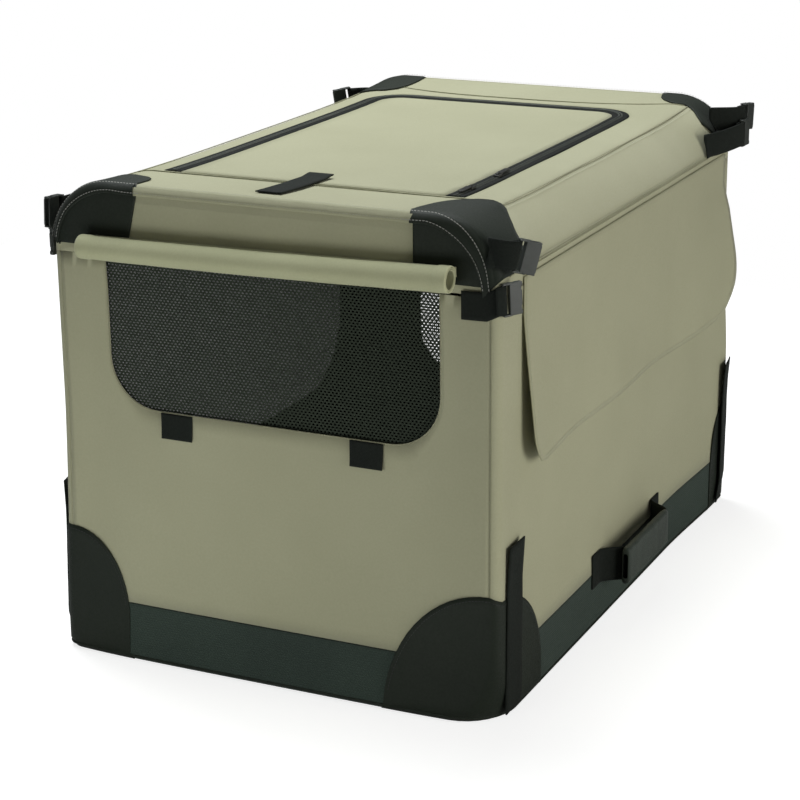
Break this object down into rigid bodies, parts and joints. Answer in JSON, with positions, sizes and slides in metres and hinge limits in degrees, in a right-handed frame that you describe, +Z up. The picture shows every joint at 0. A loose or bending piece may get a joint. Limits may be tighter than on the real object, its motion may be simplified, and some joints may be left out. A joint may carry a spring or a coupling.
{
  "type": "soft folding dog crate",
  "caption": "Cloth-covered dog crate on a folding tube frame, with mesh windows, roll-up blinds, zipped roof and rear doors, buckle straps and a padded side handle.",
  "frame": {"origin": "centre of the footprint on the ground plane", "axes": "+Z up, -Y the front end with the rolled blind, +X the long side with the carry handle"},
  "size_m": [0.7309, 1.0122, 0.6708],
  "materials": {
    "sage_cloth": "woven polyester, matt",
    "dark_cloth": "smooth reinforcing cloth, slight sheen",
    "woven_band": "coarse weave, matt",
    "webbing": "woven strap, matt",
    "window_mesh": "fine open mesh",
    "floor_mat": "soft pile",
    "grip_cloth": "smooth padded cloth",
    "zip_tape": "zip tape with coil",
    "buckle_plastic": "moulded, satin",
    "zip_slider": "dark, satin",
    "frame_tube": "dark coated steel tube"
  },
  "bodies": {
    "base": {"base_tray": "woven_band", "base_frame": "frame_tube", "floor_mat": "floor_mat", "left_panel": "sage_cloth", "right_panel": "sage_cloth", "front_panel": "sage_cloth", "rear_panel": "sage_cloth", "rear_door_zip": "zip_tape", "left_mesh": "window_mesh", "right_mesh": "window_mesh", "front_mesh": "window_mesh", "front_tab_left": "webbing", "front_tab_right": "webbing", "base_patch_front_left": "dark_cloth", "base_patch_front_right": "dark_cloth", "base_patch_rear_left": "dark_cloth", "base_patch_rear_right": "dark_cloth"},
    "front_frame": {"front_end_frame": "frame_tube"},
    "rear_frame": {"rear_end_frame": "frame_tube"},
    "roof": {"roof_frame": "frame_tube", "roof_panel": "sage_cloth", "roof_zip": "zip_tape", "top_patch_front_left": "dark_cloth", "top_patch_front_right": "dark_cloth", "top_patch_rear_left": "dark_cloth", "top_patch_rear_right": "dark_cloth"},
    "roof_hatch": {"roof_door": "sage_cloth"},
    "roof_hold": {"roof_tab": "webbing"},
    "front_slider": {"roof_slider_front": "zip_slider"},
    "rear_slider": {"roof_slider_rear": "zip_slider"},
    "front_roll": {"front_blind": "sage_cloth"},
    "rear_roll": {"rear_blind": "sage_cloth"},
    "left_roll": {"left_blind": "sage_cloth"},
    "right_flap": {"right_blind": "sage_cloth"},
    "rear_leaf": {"rear_door": "sage_cloth", "rear_mesh": "window_mesh"},
    "handle": {"handle_strap": "webbing", "handle_grip": "grip_cloth"},
    "front_left_hook": {"hook_strap_front_left": "webbing"},
    "front_left_upper": {"front_left_upper_strap": "webbing", "front_left_upper_buckle": "buckle_plastic"},
    "front_left_lower": {"front_left_lower_strap": "webbing", "front_left_lower_buckle": "buckle_plastic"},
    "front_right_hook": {"hook_strap_front_right": "webbing"},
    "front_right_upper": {"front_right_upper_strap": "webbing", "front_right_upper_buckle": "buckle_plastic"},
    "front_right_lower": {"front_right_lower_strap": "webbing", "front_right_lower_buckle": "buckle_plastic"},
    "rear_left_hook": {"hook_strap_rear_left": "webbing"},
    "rear_left_upper": {"rear_left_upper_strap": "webbing", "rear_left_upper_buckle": "buckle_plastic"},
    "rear_left_lower": {"rear_left_lower_strap": "webbing", "rear_left_lower_buckle": "buckle_plastic"},
    "rear_right_hook": {"hook_strap_rear_right": "webbing"},
    "rear_right_upper": {"rear_right_upper_strap": "webbing", "rear_right_upper_buckle": "buckle_plastic"},
    "rear_right_lower": {"rear_right_lower_strap": "webbing", "rear_right_lower_buckle": "buckle_plastic"}
  },
  "joints": [
    {"name": "roof_drop", "type": "slide", "parent": "base", "child": "roof", "axis": [0, 0, 1], "range_m": [-0.42, 0], "deforming": ["left_panel", "right_panel", "front_panel", "rear_panel", "left_mesh", "right_mesh", "front_mesh", "rear_mesh", "rear_door", "rear_door_zip", "front_tab_left", "front_tab_right", "right_blind", "base_patch_front_left", "base_patch_front_right", "base_patch_rear_left", "base_patch_rear_right"]},
    {"name": "front_frame_fold", "type": "hinge", "parent": "base", "child": "front_frame", "pos_m": [0, -0.437, 0.036], "axis": [1, 0, 0], "range_deg": [-90, 0]},
    {"name": "rear_frame_fold", "type": "hinge", "parent": "base", "child": "rear_frame", "pos_m": [0, 0.437, 0.054], "axis": [1, 0, 0], "range_deg": [0, 82]},
    {"name": "roof_door_open", "type": "hinge", "parent": "roof", "child": "roof_hatch", "pos_m": [0, -0.335, 0.6621], "axis": [1, 0, 0], "range_deg": [0, 115]},
    {"name": "roof_tab_lift", "type": "hinge", "parent": "roof", "child": "roof_hold", "pos_m": [-0.012, -0.438, 0.669], "axis": [1, 0, 0], "range_deg": [0, 115]},
    {"name": "front_slider_run", "type": "slide", "parent": "roof", "child": "front_slider", "axis": [0, 1, 0], "range_m": [-0.008, 0.065]},
    {"name": "rear_slider_run", "type": "slide", "parent": "roof", "child": "rear_slider", "axis": [0, 1, 0], "range_m": [0, 0.4]},
    {"name": "front_blind_lift", "type": "hinge", "parent": "roof", "child": "front_roll", "pos_m": [0, -0.4729, 0.6105], "axis": [-1, 0, 0], "range_deg": [0, 28]},
    {"name": "rear_blind_lift", "type": "hinge", "parent": "roof", "child": "rear_roll", "pos_m": [0, 0.4729, 0.6105], "axis": [1, 0, 0], "range_deg": [0, 28]},
    {"name": "left_blind_lift", "type": "hinge", "parent": "roof", "child": "left_roll", "pos_m": [-0.3229, 0, 0.5865], "axis": [0, 1, 0], "range_deg": [0, 20]},
    {"name": "right_blind_lift", "type": "hinge", "parent": "base", "child": "right_flap", "pos_m": [0.3203, 0, 0.5805], "axis": [0, -1, 0], "range_deg": [0, 80]},
    {"name": "rear_door_open", "type": "hinge", "parent": "base", "child": "rear_leaf", "pos_m": [0.242, 0.47, 0.126], "axis": [0, 0, -1], "range_deg": [0, 110]},
    {"name": "handle_swing", "type": "hinge", "parent": "base", "child": "handle", "pos_m": [0.3203, 0.012, 0.114], "axis": [0, -1, 0], "range_deg": [0, 45]},
    {"name": "front_left_hook_open", "type": "hinge", "parent": "base", "child": "front_left_hook", "pos_m": [-0.3221, -0.425, 0.012], "axis": [0, -1, 0], "range_deg": [0, 80]},
    {"name": "front_right_hook_open", "type": "hinge", "parent": "base", "child": "front_right_hook", "pos_m": [0.3221, -0.425, 0.012], "axis": [0, 1, 0], "range_deg": [0, 80]},
    {"name": "rear_left_hook_open", "type": "hinge", "parent": "base", "child": "rear_left_hook", "pos_m": [-0.3221, 0.425, 0.012], "axis": [0, -1, 0], "range_deg": [0, 80]},
    {"name": "rear_right_hook_open", "type": "hinge", "parent": "base", "child": "rear_right_hook", "pos_m": [0.3221, 0.425, 0.012], "axis": [0, 1, 0], "range_deg": [0, 80]},
    {"name": "front_left_upper_swing", "type": "hinge", "parent": "roof", "child": "front_left_upper", "pos_m": [-0.3, -0.355, 0.622], "axis": [0, 0, -1], "range_deg": [0, 25]},
    {"name": "front_left_lower_swing", "type": "hinge", "parent": "roof", "child": "front_left_lower", "pos_m": [-0.3165, -0.378, 0.578], "axis": [0, 0, -1], "range_deg": [0, 25]},
    {"name": "front_right_upper_swing", "type": "hinge", "parent": "roof", "child": "front_right_upper", "pos_m": [0.302, -0.466, 0.622], "axis": [0, 0, -1], "range_deg": [0, 25]},
    {"name": "front_right_lower_swing", "type": "hinge", "parent": "roof", "child": "front_right_lower", "pos_m": [0.272, -0.4712, 0.555], "axis": [0, 0, -1], "range_deg": [0, 25]},
    {"name": "rear_left_upper_swing", "type": "hinge", "parent": "roof", "child": "rear_left_upper", "pos_m": [-0.302, 0.466, 0.622], "axis": [0, 0, -1], "range_deg": [0, 25]},
    {"name": "rear_left_lower_swing", "type": "hinge", "parent": "roof", "child": "rear_left_lower", "pos_m": [-0.272, 0.4712, 0.555], "axis": [0, 0, -1], "range_deg": [0, 25]},
    {"name": "rear_right_upper_swing", "type": "hinge", "parent": "roof", "child": "rear_right_upper", "pos_m": [0.3, 0.372, 0.645], "axis": [0, 0, -1], "range_deg": [0, 25]},
    {"name": "rear_right_lower_swing", "type": "hinge", "parent": "roof", "child": "rear_right_lower", "pos_m": [0.3165, 0.335, 0.602], "axis": [0, 0, -1], "range_deg": [0, 25]}
  ],
  "couplings": [
    {"joint": "front_frame_fold", "follows": "roof_drop", "rad_per_m": 3.739},
    {"joint": "rear_frame_fold", "follows": "roof_drop", "rad_per_m": -3.407},
    {"joint": "roof_tab_lift", "follows": "roof_door_open", "ratio": 1}
  ]
}
